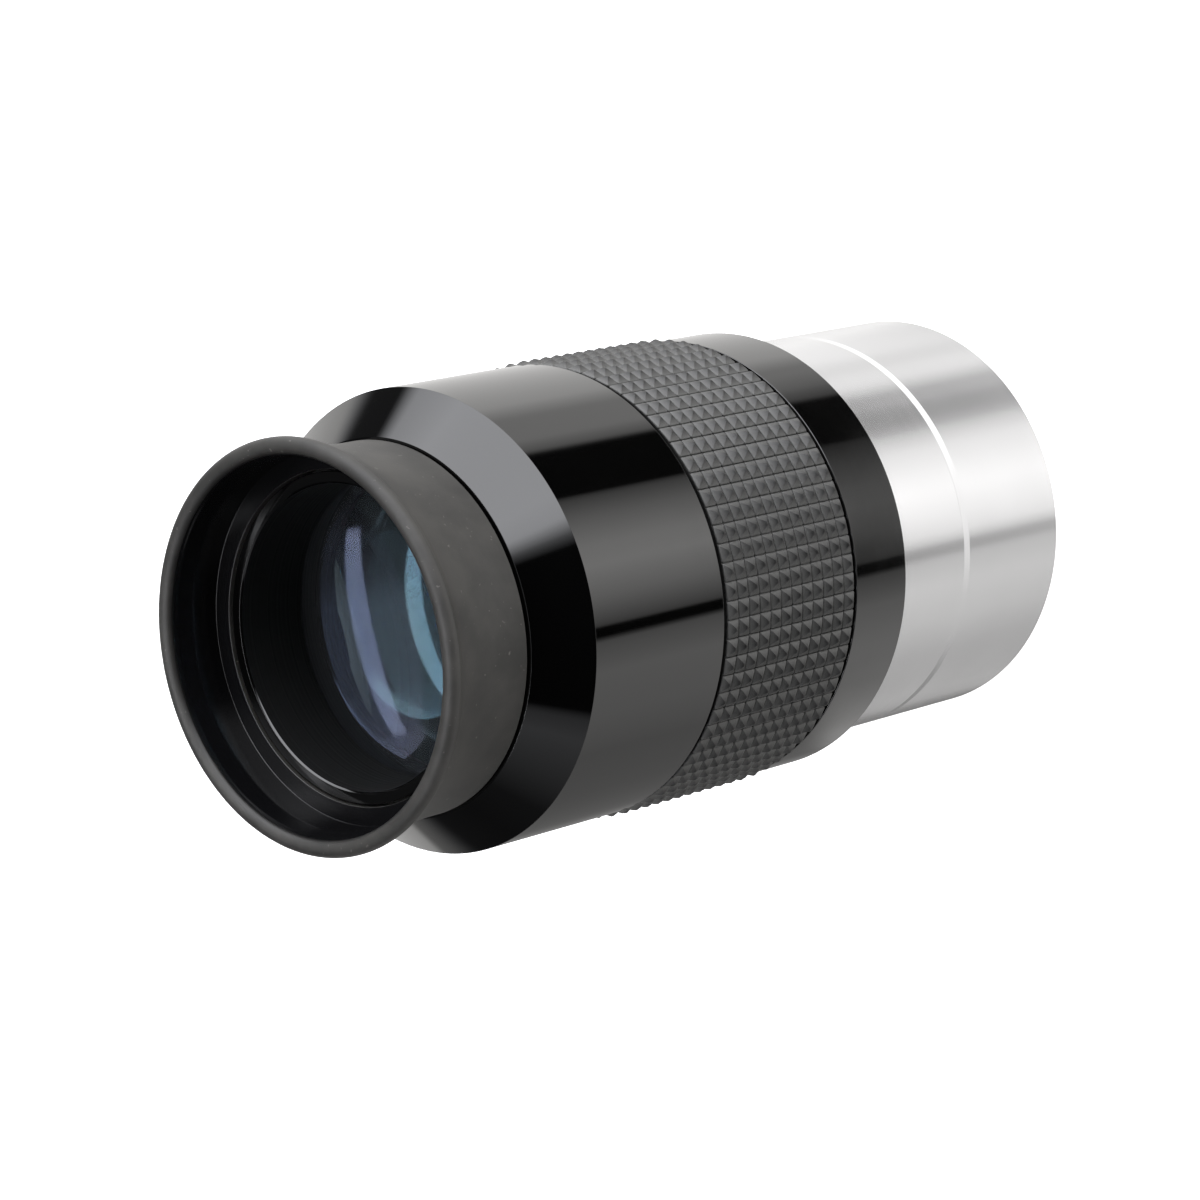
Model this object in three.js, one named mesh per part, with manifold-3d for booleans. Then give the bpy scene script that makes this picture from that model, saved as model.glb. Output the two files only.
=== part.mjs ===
// Two-inch telescope eyepiece with a wide apparent field.
// Millimetres. +Z runs along the optical axis towards the eye, and the origin is the centre of the
// chrome barrel's open end, so the eyepiece stands on its barrel.

import * as THREE from "three";
import { mergeVertices } from "three/addons/utils/BufferGeometryUtils.js";
import Module from "manifold-3d";

// ---------------------------------------------------------------- driving dimensions

const BARREL_RADIUS = 25.4; // the 2-inch push fit: 50.8 mm diameter
const BODY_RADIUS = 27.62; // rear band and front band
const GRIP_RADIUS = 28.05; // over the peaks of the rubber grip

const SHOULDER_Z = 33.9; // rear face of the body, which stops against the focuser
const GRIP_START_Z = 43.3; // front of the rear band
const FRONT_BAND_Z = 67.9; // rear of the front band
const CONE_START_Z = 90.0; // arris between the front band and the cone
const CONE_END_Z = 95.2; // flat step that the eyecup sits on
const NECK_TOP_Z = 102.05;
const EYECUP_TOP_Z = 109.85;

const BODY_BORE = 24.4; // one bore takes the barrel's spigot and both lens cells
const SEAT_RADIUS = 26.0; // tube under the rubber grip
const BODY_TUBE_TOP = 76.0; // the tube runs up inside the top housing
const EYE_BORE = 18.0; // open bore in front of the eye lens

const FIT_GAP = 0.3; // radial clearance between pieces that fit inside one another
const SEAT_GAP = 0.1; // axial clearance between pieces that seat on one another
const EDGE = 0.3; // chamfer on turned metal edges
const OVERHANG = 2.0; // how far a cutting tool runs past what it cuts
const WELD = 1e-4; // points closer than this are one vertex

const SLOT_WIDTH = 2.0; // spanner slots of every threaded ring
const SLOT_DEPTH = 0.9;

const SEGMENTS = 32; // flats round every turned piece
const LENS_STEPS = 3; // rings across a polished surface, from its axis to its edge

// ---------------------------------------------------------------- finishes

const finishes = {
  chrome: new THREE.MeshStandardMaterial({ color: 0xd8d8da, roughness: 0.12, metalness: 1.0 }),
  anodised: new THREE.MeshStandardMaterial({ color: 0x0d0d0e, roughness: 0.22, metalness: 0.5 }),
  innerBlack: new THREE.MeshStandardMaterial({ color: 0x0a0a0a, roughness: 0.75, metalness: 0.2 }),
  rubber: new THREE.MeshStandardMaterial({ color: 0x242423, roughness: 0.8, metalness: 0.0 }),
  steel: new THREE.MeshStandardMaterial({ color: 0x55565a, roughness: 0.4, metalness: 1.0 }),
  glass: new THREE.MeshStandardMaterial({ color: 0x2d3a52, roughness: 0.03, metalness: 0.0 }),
};

// ---------------------------------------------------------------- geometry helpers

const wasm = await Module();
wasm.setup();

/** Turns a profile of [radius, height] points about the Z axis. */
function turned(profile, closed = true) {
  const points = profile.map(([radius, height]) => new THREE.Vector2(radius, height));
  if (THREE.ShapeUtils.area(points) < 0) {
    points.reverse();
  }
  if (closed) {
    points.push(points[0].clone());
  }
  const geometry = new THREE.LatheGeometry(points, SEGMENTS);
  geometry.rotateX(Math.PI / 2);
  return geometry;
}

/** A plain ring with a rectangular section. */
function ring(outer, inner, low, high) {
  return turned([
    [outer, low],
    [outer, high],
    [inner, high],
    [inner, low],
  ]);
}

function toSolid(geometry) {
  const bare = geometry.clone();
  bare.deleteAttribute("normal");
  bare.deleteAttribute("uv");
  const merged = mergeVertices(bare, WELD);
  const mesh = new wasm.Mesh({
    numProp: 3,
    vertProperties: new Float32Array(merged.attributes.position.array),
    triVerts: new Uint32Array(merged.index.array),
  });
  return new wasm.Manifold(mesh);
}

function fromSolid(solid) {
  const mesh = solid.getMesh();
  const geometry = new THREE.BufferGeometry();
  geometry.setAttribute("position", new THREE.BufferAttribute(mesh.vertProperties, 3));
  geometry.setIndex(new THREE.BufferAttribute(mesh.triVerts, 1));
  geometry.computeVertexNormals();
  return geometry;
}

/** Cuts every tool geometry out of a blank. */
function cut(blank, tools) {
  let solid = toSolid(blank);
  for (const tool of tools) {
    solid = solid.subtract(toSolid(tool));
  }
  return fromSolid(solid);
}

/** Height of a spherical surface above its vertex at a given radius. */
function sag(curve, radius) {
  return curve - Math.sqrt(curve * curve - radius * radius);
}

/**
 * A lens: each surface is given by the height of its edge and its radius of curvature.
 * A positive curvature bulges towards the eye, a negative one towards the telescope.
 */
function lens(radius, edgeLow, curveLow, edgeHigh, curveHigh) {
  const surface = (edge, curve, r) => {
    const size = Math.abs(curve);
    return edge + Math.sign(curve) * (sag(size, radius) - sag(size, r));
  };
  const profile = [];
  for (let step = 0; step <= LENS_STEPS; step += 1) {
    const r = (radius * step) / LENS_STEPS;
    profile.push([r, surface(edgeLow, curveLow, r)]);
  }
  for (let step = LENS_STEPS; step >= 0; step -= 1) {
    const r = (radius * step) / LENS_STEPS;
    profile.push([r, surface(edgeHigh, curveHigh, r)]);
  }
  return turned(profile, false);
}

/** A bar across the full width, which leaves two opposite spanner slots in a ring's lower face. */
function slotCutter(outer, ringLow) {
  const height = OVERHANG + SLOT_DEPTH;
  const bar = new THREE.BoxGeometry(2 * (outer + OVERHANG), SLOT_WIDTH, height);
  bar.translate(0, 0, ringLow + SLOT_DEPTH - height / 2);
  return bar;
}

/** A threaded retaining ring with two spanner slots in its lower face. */
function slottedRing(outer, inner, low, high) {
  return cut(ring(outer, inner, low, high), [slotCutter(outer, low)]);
}

/** A cylinder lying along the radius at a given angle and height. */
function radialCylinder(radius, from, to, angle, height, sides) {
  const bar = new THREE.CylinderGeometry(radius, radius, to - from, sides);
  bar.rotateZ(-Math.PI / 2);
  bar.translate((from + to) / 2, 0, 0);
  bar.rotateZ(angle);
  bar.translate(0, 0, height);
  return bar;
}

// ---------------------------------------------------------------- the assembly

const eyepiece = new THREE.Group();

function add(name, geometry, finish) {
  const mesh = new THREE.Mesh(geometry, finishes[finish]);
  mesh.name = name;
  eyepiece.add(mesh);
}

// ---------------------------------------------------------------- chrome barrel

const BARREL_BORE = 22.8;
const SPIGOT_RADIUS = BODY_BORE - FIT_GAP;
const SPIGOT_TOP = 41.3;
const SEAT_Z = SHOULDER_Z + 1.0; // the barrel's shoulder seats 1 mm inside the body
const FILTER_THREAD_RADIUS = 23.75; // mean radius of the M48 x 0.75 filter thread
const FILTER_THREAD_END = 6.3;
const FILTER_RELIEF_END = 7.3;
const FILTER_RELIEF_RADIUS = 24.05;
const GROOVE_Z = 18.95; // middle of the shallow ring groove
const GROOVE_HALF_WIDTH = 0.6;
const GROOVE_DEPTH = 0.3;

function chromeBarrel() {
  const floor = BARREL_RADIUS - GROOVE_DEPTH;
  return turned([
    [BARREL_RADIUS - EDGE, 0],
    [BARREL_RADIUS, EDGE],
    [BARREL_RADIUS, GROOVE_Z - GROOVE_HALF_WIDTH],
    [floor, GROOVE_Z - GROOVE_HALF_WIDTH / 2],
    [floor, GROOVE_Z + GROOVE_HALF_WIDTH / 2],
    [BARREL_RADIUS, GROOVE_Z + GROOVE_HALF_WIDTH],
    [BARREL_RADIUS, SEAT_Z - SEAT_GAP],
    [SPIGOT_RADIUS, SEAT_Z - SEAT_GAP],
    [SPIGOT_RADIUS, SPIGOT_TOP],
    [BARREL_BORE, SPIGOT_TOP],
    [BARREL_BORE, FILTER_RELIEF_END],
    [FILTER_RELIEF_RADIUS, FILTER_RELIEF_END],
    [FILTER_RELIEF_RADIUS, FILTER_THREAD_END],
    [FILTER_THREAD_RADIUS, FILTER_THREAD_END],
    [FILTER_THREAD_RADIUS, EDGE],
    [FILTER_THREAD_RADIUS + EDGE, 0],
  ]);
}

add("chrome_barrel", chromeBarrel(), "chrome");

// ---------------------------------------------------------------- field stop

const STOP_LOW = 36.6;
const STOP_HIGH = 39.2;
const STOP_APERTURE = 21.3;
const STOP_LAND = 0.4; // thickness of the aperture's edge
const STOP_FLARE = 0.7; // how far the aperture opens out towards both faces

function fieldStop() {
  const outer = BARREL_BORE - FIT_GAP;
  const landZ = (STOP_LOW + STOP_HIGH) / 2;
  const blank = turned([
    [outer, STOP_LOW],
    [outer, STOP_HIGH],
    [STOP_APERTURE + STOP_FLARE, STOP_HIGH],
    [STOP_APERTURE, landZ + STOP_LAND / 2],
    [STOP_APERTURE, landZ - STOP_LAND / 2],
    [STOP_APERTURE + STOP_FLARE, STOP_LOW],
  ]);
  return cut(blank, [slotCutter(outer, STOP_LOW)]);
}

add("field_stop_ring", fieldStop(), "innerBlack");

// ---------------------------------------------------------------- main body and its screws

const SCREW_COUNT = 3;
const SCREW_Z = 55.5;
const SCREW_RADIUS = 1.0;
const SCREW_INNER = 24.25;
const SCREW_OUTER = 25.75;
const SCREW_SIDES = 16;
const SOCKET_RADIUS = 0.5; // hexagon socket, from its axis to a corner
const SOCKET_DEPTH = 0.8;
const SOCKET_SIDES = 6;

const SCREW_STEP = (2 * Math.PI) / SCREW_COUNT;
const screwAngles = Array.from({ length: SCREW_COUNT }, (_, i) => Math.PI / 2 + i * SCREW_STEP);

function mainBody() {
  const blank = turned([
    [BODY_RADIUS - EDGE, SHOULDER_Z],
    [BODY_RADIUS, SHOULDER_Z + EDGE],
    [BODY_RADIUS, GRIP_START_Z - EDGE / 2],
    [BODY_RADIUS - EDGE / 2, GRIP_START_Z],
    [SEAT_RADIUS, GRIP_START_Z],
    [SEAT_RADIUS, BODY_TUBE_TOP],
    [BODY_BORE, BODY_TUBE_TOP],
    [BODY_BORE, SEAT_Z],
    [BARREL_RADIUS + FIT_GAP, SEAT_Z],
    [BARREL_RADIUS + FIT_GAP, SHOULDER_Z],
  ]);
  const from = BODY_BORE - OVERHANG;
  const to = SEAT_RADIUS + OVERHANG;
  const holes = screwAngles.map((angle) =>
    radialCylinder(SCREW_RADIUS + FIT_GAP, from, to, angle, SCREW_Z, SCREW_SIDES),
  );
  return cut(blank, holes);
}

function grubScrew(angle) {
  const shank = radialCylinder(SCREW_RADIUS, SCREW_INNER, SCREW_OUTER, angle, SCREW_Z, SCREW_SIDES);
  const socketFloor = SCREW_OUTER - SOCKET_DEPTH;
  const socketEnd = SCREW_OUTER + OVERHANG;
  const socket = radialCylinder(SOCKET_RADIUS, socketFloor, socketEnd, angle, SCREW_Z, SOCKET_SIDES);
  return cut(shank, [socket]);
}

add("main_body", mainBody(), "anodised");
screwAngles.forEach((angle, i) => add(`grub_screw_${i + 1}`, grubScrew(angle), "steel"));

// ---------------------------------------------------------------- rubber grip

const GRIP_LOW = GRIP_START_Z + FIT_GAP;
const GRIP_HIGH = FRONT_BAND_Z - 0.45;
const GRIP_RIM_RADIUS = 27.4; // plain rims at both ends, below the peaks
const GRIP_RIM_WIDTH = 0.7;

function rubberGrip() {
  const inner = SEAT_RADIUS + FIT_GAP;
  return turned([
    [GRIP_RIM_RADIUS, GRIP_LOW],
    [GRIP_RADIUS, GRIP_LOW + GRIP_RIM_WIDTH],
    [GRIP_RADIUS, GRIP_HIGH - GRIP_RIM_WIDTH],
    [GRIP_RIM_RADIUS, GRIP_HIGH],
    [inner, GRIP_HIGH],
    [inner, GRIP_LOW],
  ]);
}

add("rubber_grip", rubberGrip(), "rubber");

// ---------------------------------------------------------------- top housing

const NECK_RADIUS = 19.4;
const NECK_GROOVE_RADIUS = 18.8; // holds the eyecup's inner bead
const NECK_GROOVE_LOW = 97.6;
const NECK_GROOVE_HIGH = 100.2;
const LENS_POCKET_RADIUS = 19.3;
const LENS_POCKET_TOP = 92.4; // lip that the eye lens is held against
const CELL_BORE_TOP = 91.0;

function topHousing() {
  const coneTopRadius = BODY_RADIUS - (CONE_END_Z - CONE_START_Z);
  const tubePocket = SEAT_RADIUS + FIT_GAP;
  return turned([
    [BODY_RADIUS - EDGE / 2, FRONT_BAND_Z],
    [BODY_RADIUS, FRONT_BAND_Z + EDGE / 2],
    [BODY_RADIUS, CONE_START_Z],
    [coneTopRadius, CONE_END_Z],
    [NECK_RADIUS, CONE_END_Z],
    [NECK_RADIUS, NECK_GROOVE_LOW],
    [NECK_GROOVE_RADIUS, NECK_GROOVE_LOW],
    [NECK_GROOVE_RADIUS, NECK_GROOVE_HIGH],
    [NECK_RADIUS, NECK_GROOVE_HIGH],
    [NECK_RADIUS, NECK_TOP_Z],
    [EYE_BORE + EDGE, NECK_TOP_Z],
    [EYE_BORE, NECK_TOP_Z - EDGE],
    [EYE_BORE, LENS_POCKET_TOP],
    [LENS_POCKET_RADIUS, LENS_POCKET_TOP],
    [LENS_POCKET_RADIUS, CELL_BORE_TOP],
    [BODY_BORE, CELL_BORE_TOP],
    [BODY_BORE, BODY_TUBE_TOP + FIT_GAP],
    [tubePocket, BODY_TUBE_TOP + FIT_GAP],
    [tubePocket, FRONT_BAND_Z],
  ]);
}

add("top_housing", topHousing(), "anodised");

// ---------------------------------------------------------------- eye group

const CELL_RADIUS = BODY_BORE - FIT_GAP;
const EYE_CELL_LOW = 79.7;
const EYE_GLASS_RADIUS = LENS_POCKET_RADIUS - FIT_GAP;
const EYE_TOP_EDGE = 92.2;
const EYE_TOP_CURVE = 180;
const EYE_CEMENT_EDGE = 85.9;
const EYE_CEMENT_CURVE = 45;
const EYE_LOW_EDGE = 83.8;
const EYE_LOW_CURVE = -60;
const EYE_RING_LOW = 81.1;
const EYE_RING_HIGH = 83.1;
const EYE_RING_BORE = 17.5;

add(
  "eye_lens_cell",
  ring(CELL_RADIUS, LENS_POCKET_RADIUS, EYE_CELL_LOW, CELL_BORE_TOP - 2 * SEAT_GAP),
  "innerBlack",
);
add(
  "eye_flint_lens",
  lens(EYE_GLASS_RADIUS, EYE_CEMENT_EDGE + SEAT_GAP, EYE_CEMENT_CURVE, EYE_TOP_EDGE, EYE_TOP_CURVE),
  "glass",
);
add(
  "eye_crown_lens",
  lens(EYE_GLASS_RADIUS, EYE_LOW_EDGE, EYE_LOW_CURVE, EYE_CEMENT_EDGE, EYE_CEMENT_CURVE),
  "glass",
);
add(
  "eye_retaining_ring",
  slottedRing(EYE_GLASS_RADIUS, EYE_RING_BORE, EYE_RING_LOW, EYE_RING_HIGH),
  "innerBlack",
);

// ---------------------------------------------------------------- centre lens and field group

const CELL_BORE = 22.9;
const CELL_LOW = 45.3;
const CELL_HIGH = 79.3;
const CELL_LIP_Z = 77.2;
const CELL_LIP_RADIUS = 20.7;
const FIELD_GLASS_RADIUS = CELL_BORE - FIT_GAP;

const CENTRE_TOP_EDGE = 76.3;
const CENTRE_LOW_EDGE = 73.8;
const CENTRE_CURVE = 70;
const SPACER_LOW = 65.3;
const SPACER_HIGH = 73.0;
const SPACER_BORE = 21.0;
const FIELD_TOP_EDGE = 64.3;
const FIELD_TOP_CURVE = 55;
const FIELD_CEMENT_EDGE = 62.3;
const FIELD_CEMENT_CURVE = -50;
const FIELD_LOW_EDGE = 52.4;
const FIELD_LOW_CURVE = 90;
const FIELD_RING_LOW = 49.6;
const FIELD_RING_HIGH = 52.1;
const FIELD_RING_BORE = 21.3;
const LOCK_RING_LOW = 42.0;
const LOCK_RING_HIGH = 45.0;
const LOCK_RING_BORE = 22.2;

function lensCell() {
  return turned([
    [CELL_RADIUS, CELL_LOW],
    [CELL_RADIUS, CELL_HIGH],
    [CELL_LIP_RADIUS, CELL_HIGH],
    [CELL_LIP_RADIUS, CELL_LIP_Z],
    [CELL_BORE, CELL_LIP_Z],
    [CELL_BORE, CELL_LOW],
  ]);
}

add("lens_cell", lensCell(), "innerBlack");
add(
  "centre_lens",
  lens(FIELD_GLASS_RADIUS, CENTRE_LOW_EDGE, -CENTRE_CURVE, CENTRE_TOP_EDGE, CENTRE_CURVE),
  "glass",
);
add("lens_spacer", ring(FIELD_GLASS_RADIUS, SPACER_BORE, SPACER_LOW, SPACER_HIGH), "innerBlack");
add(
  "field_crown_lens",
  lens(FIELD_GLASS_RADIUS, FIELD_CEMENT_EDGE, FIELD_CEMENT_CURVE, FIELD_TOP_EDGE, FIELD_TOP_CURVE),
  "glass",
);
add(
  "field_flint_lens",
  lens(
    FIELD_GLASS_RADIUS,
    FIELD_LOW_EDGE,
    FIELD_LOW_CURVE,
    FIELD_CEMENT_EDGE - SEAT_GAP,
    FIELD_CEMENT_CURVE,
  ),
  "glass",
);
add(
  "field_retaining_ring",
  slottedRing(FIELD_GLASS_RADIUS, FIELD_RING_BORE, FIELD_RING_LOW, FIELD_RING_HIGH),
  "innerBlack",
);
add(
  "cell_lock_ring",
  slottedRing(CELL_RADIUS, LOCK_RING_BORE, LOCK_RING_LOW, LOCK_RING_HIGH),
  "innerBlack",
);

// ---------------------------------------------------------------- rubber eyecup

const CUP_LOW = CONE_END_Z + FIT_GAP;
const CUP_BASE_RADIUS = 22.17;
const CUP_FLARE = 1.33; // how much wider the wall is just under the lip than at its base
const CUP_FLARE_POWER = 2.6; // the wall stands nearly straight, then flares towards the lip
const CUP_FLARE_TOP = 107.0;
const CUP_WALL_STEPS = 5;
const CUP_FOLD_Z = 102.4; // top of the thick collar, where the thin skirt folds down
const CUP_SKIRT_RADIUS = 21.9; // inside of the skirt, a plain bore up to its flare
const CUP_SKIRT_TOP = 106.0;
const CUP_BEAD_RADIUS = 19.1; // inner bead, which snaps into the neck's groove
const LIP_RADIUS = 1.05; // round lip round the mouth
const LIP_CENTRE_RADIUS = 23.26;
const LIP_STEPS = 4;

function rubberEyecup() {
  const collarBore = NECK_RADIUS + FIT_GAP;
  const lipZ = EYECUP_TOP_Z - LIP_RADIUS;
  const wall = Array.from({ length: CUP_WALL_STEPS + 1 }, (_, i) => {
    const share = i / CUP_WALL_STEPS;
    const radius = CUP_BASE_RADIUS + CUP_FLARE * share ** CUP_FLARE_POWER;
    return [radius, CUP_LOW + share * (CUP_FLARE_TOP - CUP_LOW)];
  });
  const lip = Array.from({ length: LIP_STEPS + 1 }, (_, i) => {
    const angle = (Math.PI * i) / LIP_STEPS;
    return [LIP_CENTRE_RADIUS + LIP_RADIUS * Math.cos(angle), lipZ + LIP_RADIUS * Math.sin(angle)];
  });
  return turned([
    ...wall,
    ...lip,
    [CUP_SKIRT_RADIUS, CUP_SKIRT_TOP],
    [CUP_SKIRT_RADIUS, CUP_FOLD_Z],
    [collarBore, CUP_FOLD_Z - SEAT_GAP],
    [collarBore, NECK_GROOVE_HIGH - FIT_GAP],
    [CUP_BEAD_RADIUS, NECK_GROOVE_HIGH - FIT_GAP],
    [CUP_BEAD_RADIUS, NECK_GROOVE_LOW + FIT_GAP],
    [collarBore, NECK_GROOVE_LOW + FIT_GAP],
    [collarBore, CUP_LOW],
  ]);
}

add("rubber_eyecup", rubberEyecup(), "rubber");

export default eyepiece;
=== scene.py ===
"""Telescope eyepiece: the looks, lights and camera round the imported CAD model.

Lengths are in millimetres and become metres where a mesh, a light or the camera is made.
Angles are in degrees. +Z runs along the optical axis towards the eye.
"""

import math

import bmesh
import bpy
from mathutils import Matrix, Vector


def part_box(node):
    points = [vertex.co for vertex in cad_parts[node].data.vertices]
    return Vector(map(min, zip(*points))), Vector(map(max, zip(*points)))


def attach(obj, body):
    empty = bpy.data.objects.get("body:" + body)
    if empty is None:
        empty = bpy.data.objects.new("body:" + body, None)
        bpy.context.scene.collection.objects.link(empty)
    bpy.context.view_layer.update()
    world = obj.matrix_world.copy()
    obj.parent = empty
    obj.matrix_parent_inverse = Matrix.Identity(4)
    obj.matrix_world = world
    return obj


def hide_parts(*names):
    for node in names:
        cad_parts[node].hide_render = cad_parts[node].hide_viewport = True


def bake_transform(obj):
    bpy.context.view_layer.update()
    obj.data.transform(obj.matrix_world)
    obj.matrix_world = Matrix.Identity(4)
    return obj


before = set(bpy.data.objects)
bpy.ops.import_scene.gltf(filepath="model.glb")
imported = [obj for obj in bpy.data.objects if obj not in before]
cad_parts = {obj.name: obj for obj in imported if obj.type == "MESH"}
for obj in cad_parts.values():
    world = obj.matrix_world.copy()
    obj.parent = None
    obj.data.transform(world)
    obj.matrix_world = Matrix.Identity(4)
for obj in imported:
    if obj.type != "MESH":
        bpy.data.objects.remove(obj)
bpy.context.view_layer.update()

MM = 0.001


def outer(node):
    """Outer radius of a turned CAD node."""
    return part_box(node)[1].x / MM


def low(node):
    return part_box(node)[0].z / MM


def high(node):
    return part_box(node)[1].z / MM


# ---------------------------------------------------------------- driving sizes

BARREL_RADIUS = outer("chrome_barrel")
BODY_RADIUS = outer("main_body")
GRIP_RADIUS = outer("rubber_grip")
CELL_RADIUS = outer("lens_cell")
EYE_GLASS_RADIUS = outer("eye_flint_lens")
FIELD_GLASS_RADIUS = outer("field_flint_lens")
SHOULDER_Z = low("main_body")
FRONT_BAND_Z = low("top_housing")
NECK_TOP_Z = high("top_housing")
CUP_TOP_Z = high("rubber_eyecup")

FIT_GAP = 0.3  # radial clearance between pieces
SEAM = 0.1  # gap between pieces that seat on one another
BODY_BORE = CELL_RADIUS + FIT_GAP
BREAK = 0.12  # radius of the broken edges on turned metal
CRISP = 0.05  # radius of the crispest ones
SEGMENTS = 256  # steps round a turned piece
EVEN_TURNS = [i / SEGMENTS for i in range(SEGMENTS)]
ARC_STEPS = 5  # steps round a fillet
SHARP_ANGLE = 35  # edges that turn more than this stay sharp
SAME = 1e-4  # points closer than this are one point
INSIDE_SHADE = "inside"  # attribute: how far a point of the eyecup lies inside it, from 0 to 1; it darkens the rubber there to near black, a painted shade, and makes it glossier
EDGE_HIGHLIGHT = "edge"  # attribute: 1 on the edges round a pyramid of the grip, which get a painted highlight


# ---------------------------------------------------------------- mesh helpers


def corner_arc(before, corner, after, radius):
    """The points of a fillet between two straight stretches of an outline."""
    here = Vector(corner)
    to_before = (Vector(before) - here).normalized()
    to_after = (Vector(after) - here).normalized()
    half = to_before.angle(to_after) / 2
    reach = radius / math.tan(half)
    centre = here + (to_before + to_after).normalized() * radius / math.sin(half)
    first = here + to_before * reach - centre
    last = here + to_after * reach - centre
    turn = first.angle_signed(last)
    points = []
    for step in range(ARC_STEPS + 1):
        rotation = Matrix.Rotation(-turn * step / ARC_STEPS, 2)
        points.append(tuple(centre + rotation @ first))
    return points


def outline(*corners):
    """A closed outline of (radius, height) points. A third number rounds a corner to that radius."""
    points = []
    for i, corner in enumerate(corners):
        if len(corner) == 2:
            points.append(corner)
        else:
            before = corners[i - 1][:2]
            after = corners[(i + 1) % len(corners)][:2]
            points.extend(corner_arc(before, corner[:2], after, corner[2]))
    return points


def stretch(start, end, steps):
    """Points along a straight stretch, without its end."""
    points = []
    for step in range(steps):
        share = step / steps
        points.append(tuple(a + (b - a) * share for a, b in zip(start, end)))
    return points


def signed_area(points):
    total = 0.0
    for (r0, z0), (r1, z1) in zip(points, points[1:] + points[:1]):
        total += r0 * z1 - r1 * z0
    return total / 2


def turned(name, points, relief=None, turns=EVEN_TURNS):
    """Turns a closed outline about Z, at each share of a whole turn that turns lists.

    relief(turn, r, z) returns the radius and height that a point gets at that turn.
    """
    if signed_area(points) < 0:
        points = points[::-1]
    count = len(points)
    vertices = []
    for turn in turns:
        for r, z in points:
            if relief:
                r, z = relief(turn, r, z)
            vertices.append(place(r, turn, z))
    faces = []
    for i in range(len(turns)):
        here = i * count
        beyond = (i + 1) % len(turns) * count
        for j in range(count):
            k = (j + 1) % count
            faces.append((here + j, beyond + j, beyond + k, here + k))
    return mesh_object(name, vertices, faces)


def place(radius, turn, z):
    """A point in metres, from its radius, its share of a whole turn and its height."""
    angle = 2 * math.pi * turn
    return (MM * radius * math.cos(angle), MM * radius * math.sin(angle), MM * z)


def mesh_object(name, vertices, faces):
    mesh = bpy.data.meshes.new(name)
    mesh.from_pydata(vertices, [], faces)
    work = bmesh.new()
    work.from_mesh(mesh)
    bmesh.ops.remove_doubles(work, verts=work.verts, dist=SAME * MM)
    bmesh.ops.recalc_face_normals(work, faces=work.faces)
    work.to_mesh(mesh)
    work.free()
    mesh.shade_smooth()
    mesh.set_sharp_from_angle(angle=math.radians(SHARP_ANGLE))
    piece = bpy.data.objects.new(name, mesh)
    bpy.context.scene.collection.objects.link(piece)
    weighted = piece.modifiers.new("flat faces keep their own shading", "WEIGHTED_NORMAL")
    weighted.keep_sharp = True
    return piece


def thread(mean_radius, low_z, high_z, depth, pitch):
    """A relief that cuts a screw thread into a cylinder between two heights."""

    def relief(turn, r, z):
        if abs(r - mean_radius) > SAME or not low_z <= z <= high_z:
            return r, z
        phase = (z / pitch - turn) % 1.0
        wave = 1 - abs(2 * phase - 1) * 2
        run_out = min(1.0, (z - low_z) / pitch, (high_z - z) / pitch)
        return r + depth / 2 * wave * run_out, z

    return relief


def paint_points(piece, attribute, value_at):
    """Stores a number for each point, worked out from its radius and height."""
    stored = piece.data.attributes.new(attribute, "FLOAT", "POINT")
    for vertex, value in zip(piece.data.vertices, stored.data):
        value.value = value_at(math.hypot(vertex.co.x, vertex.co.y) / MM, vertex.co.z / MM)


def paint_inside(piece, material, radius, low_z, high_z):
    """Gives the faces of a bore, up to that radius and between two heights, a second material."""
    piece.data.materials.append(material)
    for face in piece.data.polygons:
        centre = face.center / MM
        if math.hypot(centre.x, centre.y) < radius and low_z < centre.z < high_z:
            face.material_index = 1


def finish_piece(piece, material, body, slot, *nodes):
    """Gives a piece its material, and its place in the frame instead of the CAD nodes it stands for."""
    piece.data.materials.clear()
    piece.data.materials.append(material)
    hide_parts(*nodes)
    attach(piece, body)


# ---------------------------------------------------------------- materials


class Nodes:
    """Short calls that add nodes to a tree."""

    def __init__(self, tree):
        self.tree = tree

    def node(self, kind, **settings):
        made = self.tree.nodes.new(kind)
        for key, value in settings.items():
            setattr(made, key, value)
        return made

    def link(self, source, target):
        self.tree.links.new(source, target)

    def maths(self, operation, *terms):
        """A maths node. Each term is a number or the output of another node."""
        made = self.node("ShaderNodeMath", operation=operation)
        for socket, term in zip(made.inputs, terms):
            if isinstance(term, (int, float)):
                socket.default_value = term
            else:
                self.link(term, socket)
        return made.outputs[0]

    def remap(self, source, from_low, from_high, to_low, to_high, smooth=False):
        made = self.node("ShaderNodeMapRange")
        if smooth:
            made.interpolation_type = "SMOOTHSTEP"
        for socket, value in (
            ("From Min", from_low),
            ("From Max", from_high),
            ("To Min", to_low),
            ("To Max", to_high),
        ):
            made.inputs[socket].default_value = value
        self.link(source, made.inputs["Value"])
        return made.outputs["Result"]

    def mix_number(self, factor, first, second):
        """Mixes two numbers. Each is a number or the output of another node."""
        made = self.node("ShaderNodeMix")
        self.link(factor, made.inputs["Factor"])
        for socket, term in (("A", first), ("B", second)):
            if isinstance(term, (int, float)):
                made.inputs[socket].default_value = term
            else:
                self.link(term, made.inputs[socket])
        return made.outputs["Result"]

    def mix_colour(self, factor, first, second):
        """Mixes two colours. Each is three numbers or the output of another node."""
        made = self.node("ShaderNodeMix", data_type="RGBA")
        self.link(factor, made.inputs["Factor"])
        for socket, colour in ((made.inputs[6], first), (made.inputs[7], second)):
            if isinstance(colour, tuple):
                socket.default_value = (*colour, 1)
            else:
                self.link(colour, socket)
        return made.outputs[2]


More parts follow.
